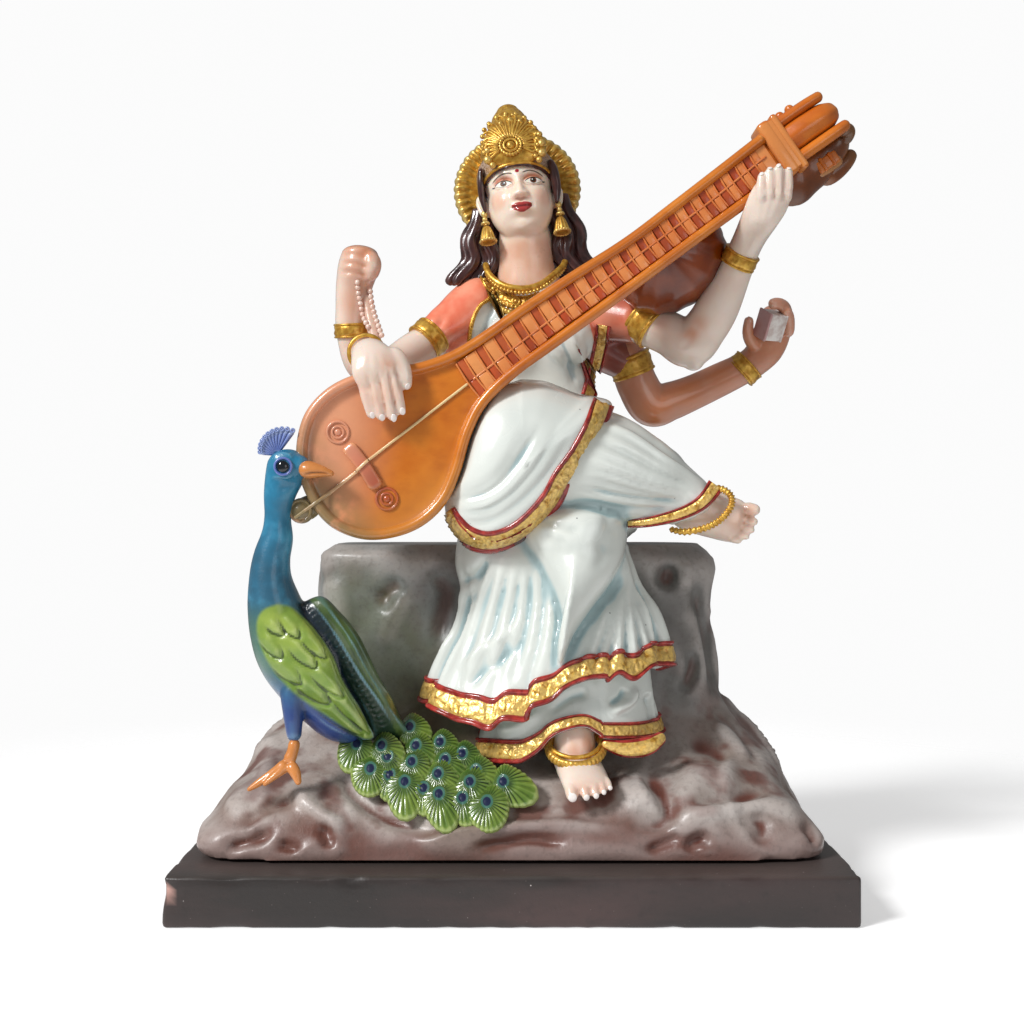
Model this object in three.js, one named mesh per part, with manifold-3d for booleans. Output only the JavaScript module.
// A painted cast-resin figure group: a four-armed goddess sits cross-legged on a rock and plays a veena,
// with a peacock beside her. The group is one casting, and it stands on a separate flat plinth.
// Millimetres, +Z up, the front faces -Y, and the origin is the middle of the plinth's underside.
import * as THREE from 'three';
import { mergeVertices } from 'three/addons/utils/BufferGeometryUtils.js';
import Module from 'manifold-3d';

const wasm = await Module();
wasm.setup();

// Driving sizes
const castingHeight = 240.5; // from the rock's flat foot to the tip of the crown
const plinthHeight = 15;
const plinthEdge = 1.6; // rounding of the plinth's upper edge and corners
const sideLedge = 5; // plinth that shows beside the rock's foot
const frontLedge = 13; // plinth that shows before and behind the rock's foot

// The free forms below are drawn for a casting of this height, on a frame whose z = 0 is the rock's foot.
const drawnHeight = 240.5;
const unit = castingHeight / drawnHeight;
const footHalfWidth = 95;
const footHalfDepth = 47;

const FRONT = new THREE.Vector3(0, -1, 0);
const UP = new THREE.Vector3(0, 0, 1);
const rad = THREE.MathUtils.degToRad;
const count = (n) => [...Array(n).keys()];
const bump = (distance, width) => Math.exp(-((distance / width) ** 2));
const lerp = (a, b, t) => a.map((v, i) => v + (b[i] - v) * t);

// Moves every vertex of a geometry by a function that changes a Vector3 in place.
function reshape(geometry, change) {
  const at = geometry.attributes.position;
  const p = new THREE.Vector3();
  for (let i = 0; i < at.count; i++) {
    p.fromBufferAttribute(at, i);
    change(p);
    at.setXYZ(i, p.x, p.y, p.z);
  }
  return geometry;
}

// A closed form along a line of stations [x, y, z, half width, half depth]. The half width is measured
// across the line in the plane that faces `facing`, and swell(t, angle) scales it round the section,
// where angle 0 faces `facing`. The sections of an upright limb stay level.
function limb(stations, { sides = 8, rings = 1, facing = FRONT, upright = false, swell = () => 1 } = {}) {
  const line = new THREE.CatmullRomCurve3(stations.map(([x, y, z]) => new THREE.Vector3(x, y, z)));
  const girth = new THREE.CatmullRomCurve3(stations.map(([, , , w, d]) => new THREE.Vector3(w, d, 0)));
  const tube = new THREE.CylinderGeometry(1, 1, 1, sides, rings * (stations.length - 1));
  const level = new THREE.Vector3(0, 0, Math.sign(stations.at(-1)[2] - stations[0][2]));
  return reshape(tube, (p) => {
    const t = p.y + 0.5;
    const size = girth.getPoint(t);
    const along = upright ? level : line.getTangent(t);
    const across = along.clone().cross(facing).normalize();
    const front = across.clone().cross(along);
    const grow = swell(t, Math.atan2(p.x, p.z));
    const { x, z } = p;
    p.copy(line.getPoint(t)).addScaledVector(across, x * size.x * grow).addScaledVector(front, z * size.y * grow);
  });
}

// An ellipsoid with its half sizes along x, y and z, turned about its own centre.
function ball([x, y, z], [rx, ry, rz], { turn = [0, 0, 0], sides = 8 } = {}) {
  const geometry = new THREE.SphereGeometry(1, sides, Math.ceil(sides * 0.6)).rotateX(Math.PI / 2).scale(rx, ry, rz);
  return geometry.applyMatrix4(new THREE.Matrix4().makeRotationFromEuler(new THREE.Euler(...turn.map(rad))))
    .translate(x, y, z);
}

// A bangle or anklet: a short drum about a limb, with its middle, the limb's direction, its radius and width.
function band(middle, direction, radius, width, sides = 6) {
  const turn = new THREE.Quaternion().setFromUnitVectors(
    new THREE.Vector3(0, 1, 0), new THREE.Vector3(...direction).normalize());
  return new THREE.CylinderGeometry(radius, radius, width, sides).applyQuaternion(turn).translate(...middle);
}

// A bar of square section from one point to another.
function bar(from, to, width, depth, facing = FRONT) {
  return limb([[...from, width, depth], [...to, width, depth]], { sides: 4, facing });
}

function placed(geometries, matrix) {
  return geometries.map((g) => g.applyMatrix4(matrix));
}

// Joins and cuts. Edges shorter than the tolerance close up where forms meet.
const joinTolerance = 0.5;

function solid(geometry) {
  const bare = geometry.clone();
  bare.deleteAttribute('normal');
  bare.deleteAttribute('uv');
  const merged = mergeVertices(bare, 1e-4);
  const mesh = new wasm.Mesh({
    numProp: 3,
    vertProperties: merged.attributes.position.array,
    triVerts: new Uint32Array(merged.index.array),
    tolerance: joinTolerance,
  });
  return new wasm.Manifold(mesh);
}

function join(geometries) {
  return geometries.map(solid).reduce((whole, piece) => whole.add(piece));
}

function geometryOf(manifold) {
  const { vertProperties, triVerts } = manifold.getMesh();
  const geometry = new THREE.BufferGeometry();
  geometry.setAttribute('position', new THREE.BufferAttribute(new Float32Array(vertProperties), 3));
  geometry.setIndex(new THREE.BufferAttribute(new Uint32Array(triVerts), 1));
  geometry.computeVertexNormals();
  return geometry;
}

// Rock: a spreading base and the block that she sits on. The sections are squarish, with blunt ridges.
function crag(depth, ridges, phase, corner) {
  return (t, angle) => {
    const power = corner - 4 * t;
    const side = Math.abs(Math.cos(angle)) ** power + Math.abs(Math.sin(angle)) ** power;
    const ridge = Math.sin(ridges * angle + phase + 5 * t) + 0.6 * Math.sin((ridges + 4) * angle - 9 * t);
    return (1 + depth * ridge * Math.min(1, 6 * t)) / side ** (1 / power);
  };
}

function rock() {
  const base = limb([
    [0, 0, 0, 95, 46.6],
    [0, 0, 5, 95, 46.6],
    [0, 0.5, 10, 92.5, 45],
    [0.5, 3, 17, 88, 41.5],
    [1, 7, 22, 85, 37],
    [1, 14, 28, 82, 30],
    [1, 18, 33, 77, 27],
    [1, 20, 44, 68, 25],
  ], { sides: 22, upright: true, swell: crag(0.012, 7, 1.2, 10) });
  const block = limb([
    [1, 20, 30, 68, 27],
    [1, 20, 52, 67, 26],
    [1, 20, 70, 65, 25],
    [1.5, 20, 87, 66.5, 25.5],
    [1.5, 20, 94, 61, 22],
  ], { sides: 16, upright: true, swell: crag(0.02, 5, 0.4, 9) });
  return [base, block];
}

// Skirt of the sari: two tiers of pleats that hang from the lap to the hems.
function pleats(folds, depth) {
  return (t, angle) => 1 + depth * t * Math.sin(folds * angle + 2 * Math.sin(angle));
}

function skirt() {
  const upper = limb([
    [9, -12, 98, 26, 16],
    [11, -13, 82, 28.5, 18],
    [13.5, -14, 69, 32, 19.5],
    [12.5, -14, 57, 36, 22],
    [11, -15, 44, 38.5, 24.5],
  ], { sides: 32, upright: true, swell: pleats(8, 0.055) });
  reshape(upper, (p) => {
    const hem = THREE.MathUtils.smoothstep(62 - p.z, 0, 18);
    p.z += hem * (3 + 8 * Math.tanh((p.x - 12) / 12) + 7.5 * bump(p.x + 30, 12));
  });
  const lower = limb([
    [18, -12, 62, 25, 18],
    [18, -12, 44, 26.5, 20],
    [18, -13, 30, 29.5, 23],
  ], { sides: 16, upright: true, swell: pleats(4, 0.06) });
  reshape(lower, (p) => {
    p.z += 8 * bump(p.x - 22, 11) * bump(p.z - 30, 8);
  });
  return [upper, lower];
}

// Lap: the crossed thigh under a smooth fall of cloth, the crossed shin in folds, and the planted knee.
function lap() {
  const folds = (t, angle) => 1 + 0.06 * Math.sin(5 * angle + 7 * t);
  const hips = ball([18, 8, 112], [29, 21, 24]);
  const fall = ball([3.5, -24, 120], [20.5, 20, 28], { turn: [0, 32, 0], sides: 12 });
  const crossedThigh = limb([
    [20, 8, 120, 20, 18],
    [13, -10, 124, 21, 19],
    [6, -26, 125, 17, 17],
  ], { facing: UP });
  const crossedShin = limb([
    [8, -26, 124, 17, 16],
    [26, -25, 119, 17.5, 16],
    [40, -23, 114, 14, 13],
    [50, -22, 110, 10, 10],
    [57, -22, 107, 6.5, 7],
  ], { sides: 13, swell: folds });
  const plantedKnee = limb([
    [28, 4, 105, 18, 16],
    [24, -16, 103, 16, 15],
    [22, -26, 96, 14, 12],
    [21, -24, 80, 12, 10],
  ], { facing: new THREE.Vector3(0, -0.6, 0.8) });
  return [hips, fall, crossedThigh, crossedShin, plantedKnee];
}

// Torso with its blouse and the border of the sari down the left side
function torso() {
  const body = limb([
    [17, 9, 104, 24, 19],
    [16, 11, 126, 19, 15],
    [13.5, 12, 142, 14, 12],
    [11, 10, 158, 18.5, 14],
    [8, 10, 170, 21, 13],
    [6, 9.5, 178, 17, 10],
    [5.2, 8.5, 184, 8.5, 8],
  ], { sides: 9 });
  const bust = [-1, 1].map((side) => ball([9 + 9.5 * side, -1, 160], [8.5, 7.5, 8.5], { sides: 6 }));
  const border = bar([31, 0, 161], [25, -5, 137], 2.8, 2.6);
  const neck = limb([
    [5.4, 9, 178, 8.6, 8.5],
    [4.9, 7.5, 188, 7.6, 7.6],
    [4, 6, 198, 7.6, 8],
  ], { sides: 7 });
  const collar = band([5, 7, 183], [-0.05, -0.45, 1], 10.6, 3, 10);
  return [body, ...bust, border, neck, collar];
}

// Fingers in a row from one knuckle to the other, each one reaching along `reach`.
function fingers({ from, to, reach, lengths, girth, facing }) {
  return lengths.map((length, i) => {
    const base = lerp(from, to, i / (lengths.length - 1));
    const tip = base.map((v, k) => v + reach[k] * length);
    return limb([[...base, girth, girth], [...tip, 0.75 * girth, 0.7 * girth]], {
      sides: 4, facing: new THREE.Vector3(...facing),
    });
  });
}

// Right arms (on the left of the picture): one plucks the strings, the one behind is raised with a string of beads.
function rightArms() {
  const sleeve = limb([
    [-9, 10, 173, 10, 10],
    [-19, 7, 168, 9.5, 9.5],
    [-27, 2, 161, 8, 8.5],
  ], { sides: 7 });
  const arm = limb([
    [-22, 4, 164, 7, 7.5],
    [-32, -1, 156, 6.5, 7],
    [-38.5, -8, 151, 6, 6.4],
    [-41, -20, 152.5, 5.4, 5.4],
    [-42.5, -35, 153.5, 4.6, 4.2],
  ], { sides: 7, facing: UP });
  const palm = limb([
    [-42.5, -34, 154, 5, 4],
    [-42, -42, 151, 6.6, 3.2],
    [-40.5, -44, 145.5, 6.6, 2.8],
    [-39.8, -44, 142.5, 6, 2.2],
  ], { facing: new THREE.Vector3(0, -1, 0.5) });
  const plucking = fingers({
    from: [-44.6, -43.5, 144], to: [-35.8, -43.5, 144.5], reach: [0.19, 0.05, -0.98],
    lengths: [12, 14.5, 15, 13], girth: 1.5, facing: [0.1, -1, 0.05],
  });
  const thumb = limb([[-36.8, -42, 150, 2.2, 2.2], [-32.5, -43, 144, 2, 2], [-31, -42, 137.5, 1.3, 1.3]], { sides: 4 });
  const raisedArm = limb([
    [-10, 9, 164, 7, 6],
    [-31, 8, 156, 6.2, 6.5],
    [-42, 9, 153, 5.8, 6],
    [-50, 8, 157, 5.2, 5.2],
    [-53.2, 5.5, 168, 5, 4.6],
    [-52.8, 4.5, 181, 5.8, 5],
    [-50, 3.5, 188, 6, 5.5],
    [-46, 1, 187.5, 5.4, 5.5],
    [-45.5, -1.8, 179, 3.2, 3.2],
  ], { sides: 6 });
  const beads = limb([
    [-46, -1.8, 182, 1.6, 1.6],
    [-45.3, -2.8, 172, 1.6, 1.6],
    [-43.3, -3.4, 162, 1.6, 1.6],
  ], { sides: 4, rings: 5, swell: (t) => 1 + 0.3 * Math.cos(10 * Math.PI * t) });
  const bangles = [
    band([-27.5, 1.5, 160.5], [-0.75, -0.5, -0.65], 9, 4.5),
    band([-42.5, -32.5, 153.5], [0, -1, -0.05], 6, 3),
    band([-53, 5.8, 164.5], [-0.05, -0.15, 1], 6.2, 4),
  ];
  return [sleeve, arm, palm, ...plucking, thumb, raisedArm, beads, ...bangles];
}

// Left arms (on the right of the picture): one holds the veena's neck, the one behind holds a book.
function leftArms() {
  const sleeves = [
    limb([[16, 10, 172, 10, 10], [28, 8, 168, 10, 10], [40, -1, 163.5, 8.8, 9]], { sides: 7 }),
    limb([[18, 12, 166, 10, 9], [30, 15, 158, 9, 9], [40, 17, 152, 7.6, 8]], { sides: 7 }),
  ];
  const holding = limb([
    [36, 2, 165, 8, 8],
    [46, -5, 160.5, 7, 7.5],
    [56.5, -9, 156.5, 7, 7.5],
    [62, -13, 163, 7.2, 7],
    [67.5, -18, 174, 5.8, 5.8],
    [71.5, -22, 184, 4.6, 4.8],
    [74.5, -26, 192, 5.8, 4],
    [77.5, -31, 199, 6.3, 3.6],
  ], { sides: 7 });
  const overNeck = fingers({
    from: [74, -36, 197.5], to: [83.5, -34, 198.5], reach: [0.07, -0.2, 0.95],
    lengths: [9.5, 11, 11.5, 9.5], girth: 1.55, facing: [0.1, -1, 0.05],
  });
  const raised = limb([
    [26, 13, 158, 7, 7],
    [39, 17, 150, 7, 7],
    [49, 20.5, 142, 7, 7],
    [63, 20.5, 145, 6.2, 6.2],
    [77, 20, 151.5, 4.9, 4.9],
    [86.5, 18, 161, 5.6, 4.8],
    [89, 14, 171, 5.4, 4],
    [85.5, 9.5, 174.5, 4, 2.6],
  ], { sides: 7 });
  const thumb = limb([[82, 15, 158, 2.6, 2.6], [79.5, 12, 166, 2.1, 2.1], [81, 9.5, 170, 1.5, 1.5]], { sides: 4 });
  const book = bar([81.5, 10.5, 162.5], [84.5, 10.5, 171.5], 6.4, 4.6);
  const bangles = [
    band([42.5, -3.2, 162.3], [1, -0.6, -0.4], 9.2, 6),
    band([71, -21.5, 182.5], [0.35, -0.35, 0.9], 6.4, 4.5),
    band([40.5, 17.8, 149.5], [0.75, 0.3, -0.75], 8.4, 5.5),
    band([78, 20, 152], [0.85, -0.1, 0.45], 6.2, 4),
  ];
  return [...sleeves, holding, ...overNeck, raised, thumb, book, ...bangles];
}

// Five toes in a row, from the great toe to the little one.
function toes(from, to, reach, size) {
  return count(5).map((i) => {
    const root = lerp(from, to, i / 4);
    const girth = size * (1 - 0.08 * i);
    const tip = root.map((v, k) => v + reach[k] * (1 - 0.08 * i));
    return bar(root, tip, girth, girth, new THREE.Vector3(0.1, -0.2, 1));
  });
}

function feet() {
  const plantedShin = limb([[20, -22, 52, 6.5, 7], [19, -26, 33, 5.8, 6], [19, -25, 22, 6.2, 7]], { sides: 7 });
  const sole = limb([
    [19, -26, 26.5, 6, 5.5],
    [20.5, -36, 22.5, 7.2, 4],
    [21.5, -41, 19, 7.6, 3],
  ], { facing: UP });
  const plantedToes = toes([16, -38.5, 19.4], [27.5, -38, 20.2], [0.3, -6, -1.8], 1.6);
  const crossedAnkle = limb([[50, -21, 109, 7, 7], [61, -20, 104.5, 5, 5.5], [66, -20.5, 102.5, 5.5, 5]]);
  const crossedSole = limb([[57, -18, 103, 5, 5], [65, -20, 102, 6.5, 5], [72.5, -22.5, 100, 6.6, 3.4]]);
  const crossedToes = toes([69.5, -22, 96.5], [72, -21.5, 104.5], [6.5, -1.8, -1.2], 1.5);
  const anklets = [
    band([19, -27, 33.5], [0, -0.3, 1], 8, 3.4),
    band([61.5, -20.5, 104.5], [1, -0.1, -0.3], 7.6, 3),
  ];
  return [plantedShin, sole, ...plantedToes, crossedAnkle, crossedSole, ...crossedToes, ...anklets];
}

// Head, drawn about its own centre with the face to -Y, then tipped back and leaned to the left.
const headCentre = [2.6, 5.5, 207];
const headTip = 14; // degrees that the face looks up
const headLean = 7.5; // degrees that the crown leans to the left of the picture

function head() {
  const skull = limb([
    [0, -7.4, -13.6, 2.6, 2.4],
    [0, -5, -11, 6.2, 5.6],
    [0, -2.4, -5.5, 8.8, 8.4],
    [0, 0, 1, 10.3, 11.2],
    [0, 0.5, 8, 10.9, 12],
    [0, 1, 15, 8.6, 9.6],
  ], { sides: 9 });
  const nose = limb([[0, -10.4, 4, 1.1, 1.2], [0, -12.9, -2.6, 2, 1.8], [0, -11.2, -4.4, 1.4, 1]], { sides: 5 });
  const lips = ball([0, -10.1, -7], [3.1, 1.7, 1.4], { sides: 5 });
  const earrings = [-1, 1].map((side) => limb([
    [10.6 * side, 0, -2, 1.2, 1.2],
    [11.4 * side, -1, -8, 1.6, 1.6],
    [11.6 * side, -1.2, -12.5, 3, 3],
  ], { sides: 5 }));
  return [skull, nose, lips, ...earrings];
}

// Crown: a ribbed cap with its band, a fluted fan over the brow, and a scalloped disc behind the head.
function crown() {
  const flutes = (number, depth) => (t, angle) => 1 + depth * Math.cos(number * angle);
  const cap = limb([
    [0, 1.5, 6, 12.4, 13.4],
    [0, 1.5, 12, 12.8, 13.6],
    [0, 1.5, 16, 11, 11.2],
    [0, 0.5, 24, 7.4, 7.8],
    [0, -0.5, 33, 1.2, 1.4],
  ], { sides: 12, swell: flutes(6, 0.04) });
  const fan = limb([
    [0, -11.2, 8, 9.5, 2.2],
    [0, -11.4, 14, 10.4, 2.2],
    [0, -9.6, 21, 8, 2],
    [0, -6, 30, 2, 1.4],
  ], { sides: 12, swell: flutes(6, 0.07) });
  const jewel = ball([0, -13.6, 12.5], [3.2, 1.6, 3.2], { sides: 5 });
  const scallops = 13;
  const rim = new THREE.Shape(count(scallops * 2).map((i) => {
    const angle = (i / scallops) * Math.PI;
    const radius = 21.6 + 0.8 * Math.cos(scallops * angle);
    return new THREE.Vector2(radius * Math.cos(angle), radius * Math.sin(angle));
  }));
  const disc = new THREE.ExtrudeGeometry(rim, { depth: 3, bevelEnabled: false }).rotateX(Math.PI / 2).translate(0, 12, 9);
  return [cap, fan, jewel, disc];
}

function hair() {
  const back = limb([
    [0, 9, 8, 12, 6],
    [0, 12, -6, 13.5, 6],
    [0, 12, -20, 14.5, 5.5],
    [1, 11, -34, 13, 5],
    [2, 11, -48, 8, 4],
    [2, 12, -58, 2.5, 2.5],
  ], { sides: 8, swell: (t, angle) => 1 + 0.07 * Math.cos(4 * angle + 6 * t) });
  const locks = [-1, 1].flatMap((side) => count(2).map((i) => limb([
    [(10.5 + 0.8 * i) * side, 3 + 3 * i, 4, 2.4, 3.4],
    [(12.5 + 1.4 * i) * side, 4 + 3 * i, -11, 2.8, 3.6],
    [(16 + 3 * i) * side, 6 + 3 * i, -21, 2.8, 3],
    [(17 + 3.4 * i) * side, 6.5 + 3 * i, -26, 1.4, 1.6],
  ], { sides: 4 })));
  return [back, ...locks];
}

function headGroup() {
  const turn = new THREE.Euler(-rad(headTip), -rad(headLean), 0, 'YXZ');
  const place = new THREE.Matrix4().makeRotationFromEuler(turn).setPosition(...headCentre);
  return placed([...head(), ...crown(), ...hair()], place);
}

// Veena, drawn flat: x runs from the gourd to the pegs, y across, and z out of the soundboard.
const veenaCentre = [-38.2, -38, 120.8];
const veenaSlope = 34.5; // degrees that the neck rises
const neckLength = 148; // from the middle of the gourd to the nut
const neckOffset = 4.7; // from the middle of the gourd to the neck's middle line
const neckHalfWidth = 10.2;
const gourdRadius = 25.4;
const rimWidth = 3.2;
const fretCount = 15;

// The edge of the soundboard and the neck, from the nut round the gourd and back, moved inwards by `inset`.
function veenaOutline(inset, points) {
  const side = (sign) => [
    [neckLength, neckOffset + sign * (neckHalfWidth - inset)],
    [60, neckOffset + sign * (neckHalfWidth + 0.5 - inset)],
    [43, neckOffset + sign * (neckHalfWidth + 2 - inset)],
    [30, 2 + sign * (16.5 - inset)],
    [19, 1 + sign * (21.5 - inset)],
    [4, sign * (gourdRadius - inset)],
    [-12, sign * (22.6 - inset)],
    [-22 + 0.5 * inset, sign * (14 - 0.8 * inset)],
  ];
  const line = [...side(1), [-26.5 + inset, 0], ...side(-1).reverse()];
  const edge = new THREE.CatmullRomCurve3(line.map(([x, y]) => new THREE.Vector3(x, y, 0)));
  return new THREE.Shape(edge.getPoints(points).map(({ x, y }) => new THREE.Vector2(x, y)));
}

// The board is sunk below its rim, so the recess is cut out of it before the frets and the bridge go in.
function soundboard() {
  const plain = new THREE.ExtrudeGeometry(veenaOutline(0, 32), { depth: 10, bevelEnabled: false }).translate(0, 0, -8);
  const recess = new THREE.ExtrudeGeometry(veenaOutline(rimWidth, 32), { depth: 4, bevelEnabled: false });
  return geometryOf(solid(plain).subtract(solid(recess)));
}

function veena() {
  const bowl = reshape(ball([0, 0, -6], [26, 25, 25], { sides: 10 }), (p) => {
    p.z = Math.min(p.z, -3);
  });
  const neckBack = limb([
    [24, 4, -8, 14, 9],
    [44, neckOffset, -6, 9.5, 8],
    [neckLength, neckOffset, -6, 8.6, 7],
  ], { facing: UP });
  const frets = count(fretCount).map((i) => {
    const x = 40 + i * (neckLength - 46) / (fretCount - 1);
    const half = neckHalfWidth - rimWidth - 0.5;
    return bar([x, neckOffset - half, 0], [x, neckOffset + half, 0], 1.8, 1.8, UP);
  });
  const bridge = bar([-8, -9, 0.4], [-8, 9, 0.4], 2, 2.4, UP);
  const knob = ball([-29, -1, -3], [4.4, 4.4, 4.4]);
  const nut = bar([neckLength + 1.6, neckOffset - 12, -2], [neckLength + 1.6, neckOffset + 12, -2], 4, 7, UP);
  const rails = [-1, 1].map((side) => limb([
    [neckLength + 2, neckOffset + 8.6 * side, -1, 2.8, 3],
    [neckLength + 16, neckOffset + 8.2 * side, -1, 2.8, 3],
    [neckLength + 24, neckOffset + 7.6 * side, -2.5, 1.9, 2.4],
  ], { sides: 5, facing: UP }));
  const roll = limb([
    [neckLength, neckOffset, -3, 6.6, 6],
    [neckLength + 14, neckOffset, -3, 7, 6.6],
    [neckLength + 22, neckOffset, -6, 6, 5],
    [neckLength + 24, neckOffset, -9, 3, 3],
  ], { sides: 6, facing: UP });
  const pegBox = limb([
    [neckLength - 2, neckOffset, -10, 9, 6],
    [neckLength + 12, neckOffset - 1, -14, 8.5, 8],
    [neckLength + 20, neckOffset - 4, -19, 6, 5],
    [neckLength + 22, neckOffset - 12, -19, 3.2, 3],
    [neckLength + 20, neckOffset - 16, -16, 1.6, 1.6],
  ], { sides: 5, facing: UP });
  const pegs = count(2).map((i) => bar(
    [neckLength + 8 + 6 * i, neckOffset + 8, -2], [neckLength + 8 + 6 * i, neckOffset + 14, -5], 2.4, 2.4, UP));
  const resonator = limb([
    [106, neckOffset - 1, -8, 10, 7],
    [108, neckOffset - 4, -20, 18, 13],
    [108, neckOffset - 5, -32, 17, 13],
    [107, neckOffset - 5, -40, 9, 8],
  ], { sides: 8, facing: new THREE.Vector3(0, 1, 0) });
  const turn = new THREE.Matrix4().makeRotationX(Math.PI / 2);
  const slope = new THREE.Matrix4().makeRotationY(-rad(veenaSlope));
  const place = slope.multiply(turn).setPosition(...veenaCentre);
  return placed([soundboard(), bowl, neckBack, ...frets, bridge, knob, nut, ...rails, roll, pegBox,
    ...pegs, resonator], place);
}

// Peacock: neck and body in one sweep, two folded wings, legs, and a train of eyed feathers on the rock.
function peacock() {
  const body = limb([
    [-66, -38, 119, 3.6, 3.6],
    [-69, -38, 115.5, 5.4, 5.2],
    [-71, -37, 108, 4.6, 4.8],
    [-71.8, -36, 98, 4.8, 5],
    [-73, -35, 86, 6.2, 6.5],
    [-72, -33, 74, 9.4, 10],
    [-67, -31, 61, 10.5, 11],
    [-58, -29, 48, 9, 10],
    [-46, -28, 35, 7, 8],
  ], { sides: 7 });
  const crest = new THREE.ExtrudeGeometry(new THREE.Shape([
    ...count(7).map((i) => rad(62 + i * 17)).map((a) => new THREE.Vector2(11 * Math.cos(a), 9.5 * Math.sin(a))),
    new THREE.Vector2(-2, -2),
    new THREE.Vector2(2, -2),
  ]), { depth: 2.4, bevelEnabled: false }).rotateX(Math.PI / 2).translate(-67.5, -36.5, 117.5);
  const beak = limb([[-65, -40, 117, 3.2, 3.4], [-58, -43, 115.6, 2.4, 2.4], [-53.4, -44, 114.8, 0.6, 0.6]], { sides: 5 });
  const wing = (x, y, lean) => limb([
    [x, y, 86, 3, 2.4],
    [x + 3, y - 2 * lean, 78, 8, 4],
    [x + 10, y - 2 * lean, 66, 8.6, 4.4],
    [x + 20, y, 54, 6, 3.8],
    [x + 33, y + 1.5, 37, 2.4, 2.4],
  ], { sides: 7 });
  const legs = [[-65, -32], [-60, -22]].map(([x, y]) => limb([
    [x + 1, y, 58, 5, 5],
    [x - 1, y - 3, 38, 2.4, 2.4],
    [x - 2, y - 5, 20, 1.8, 1.8],
  ], { sides: 5 }));
  const claws = [[-11, -3, -4], [1, -6, -6], [5, 2, -4]].map(([dx, dy, dz]) => limb([
    [-67, -36.5, 26, 2, 2],
    [-67 + dx * 0.5, -36.5 + dy * 0.5, 24 + dz * 0.4, 1.9, 1.9],
    [-67 + dx, -36.5 + dy, 22 + dz, 1, 1],
  ], { sides: 4 }));
  return [body, crest, beak, wing(-73, -41, 1), wing(-59, -30, 0.5), ...legs, ...claws, ...train()];
}

// Each feather of the train is a shallow shell, and the rows overlap like scales down the slope of the rock.
function train() {
  const perRow = [3, 4, 4, 2];
  const featherRadius = 7.8;
  return perRow.flatMap((feathers, row) => count(feathers).map((i) => {
    const x = -45.5 + 11.4 * i + 4 * row;
    const z = 34 - 6 * row - 2 * i;
    const y = -27 - 0.78 * (34 - z);
    return new THREE.SphereGeometry(featherRadius, 6, 2).rotateX(Math.PI / 2).scale(1, 0.3, 1)
      .rotateX(-rad(38)).translate(x, y, z);
  }));
}

const statue = join([rock, skirt, lap, torso, rightArms, leftArms, feet, headGroup, veena, peacock]
  .flatMap((make) => make()));

const figureGroup = new THREE.Mesh(
  geometryOf(statue).scale(unit, unit, unit),
  new THREE.MeshStandardMaterial({ color: 0xe9e4dc, roughness: 0.32, metalness: 0 }),
);
figureGroup.name = 'figure_group';
figureGroup.position.z = plinthHeight;

// Plinth: a slab with rounded corners and a rounded upper edge.
function plinth() {
  const x = footHalfWidth * unit + sideLedge - 2 * plinthEdge;
  const y = footHalfDepth * unit + frontLedge - 2 * plinthEdge;
  const slab = new THREE.Shape();
  slab.absarc(x, y, plinthEdge, 0, 0.5 * Math.PI);
  slab.absarc(-x, y, plinthEdge, 0.5 * Math.PI, Math.PI);
  slab.absarc(-x, -y, plinthEdge, Math.PI, 1.5 * Math.PI);
  slab.absarc(x, -y, plinthEdge, 1.5 * Math.PI, 2 * Math.PI);
  return new THREE.ExtrudeGeometry(slab, {
    depth: plinthHeight - 2 * plinthEdge,
    curveSegments: 2,
    bevelThickness: plinthEdge,
    bevelSize: plinthEdge,
    bevelSegments: 1,
  }).translate(0, 0, plinthEdge);
}

const base = new THREE.Mesh(plinth(), new THREE.MeshStandardMaterial({ color: 0x2e2826, roughness: 0.45, metalness: 0 }));
base.name = 'plinth';

const group = new THREE.Group();
group.add(base, figureGroup);
export default group;
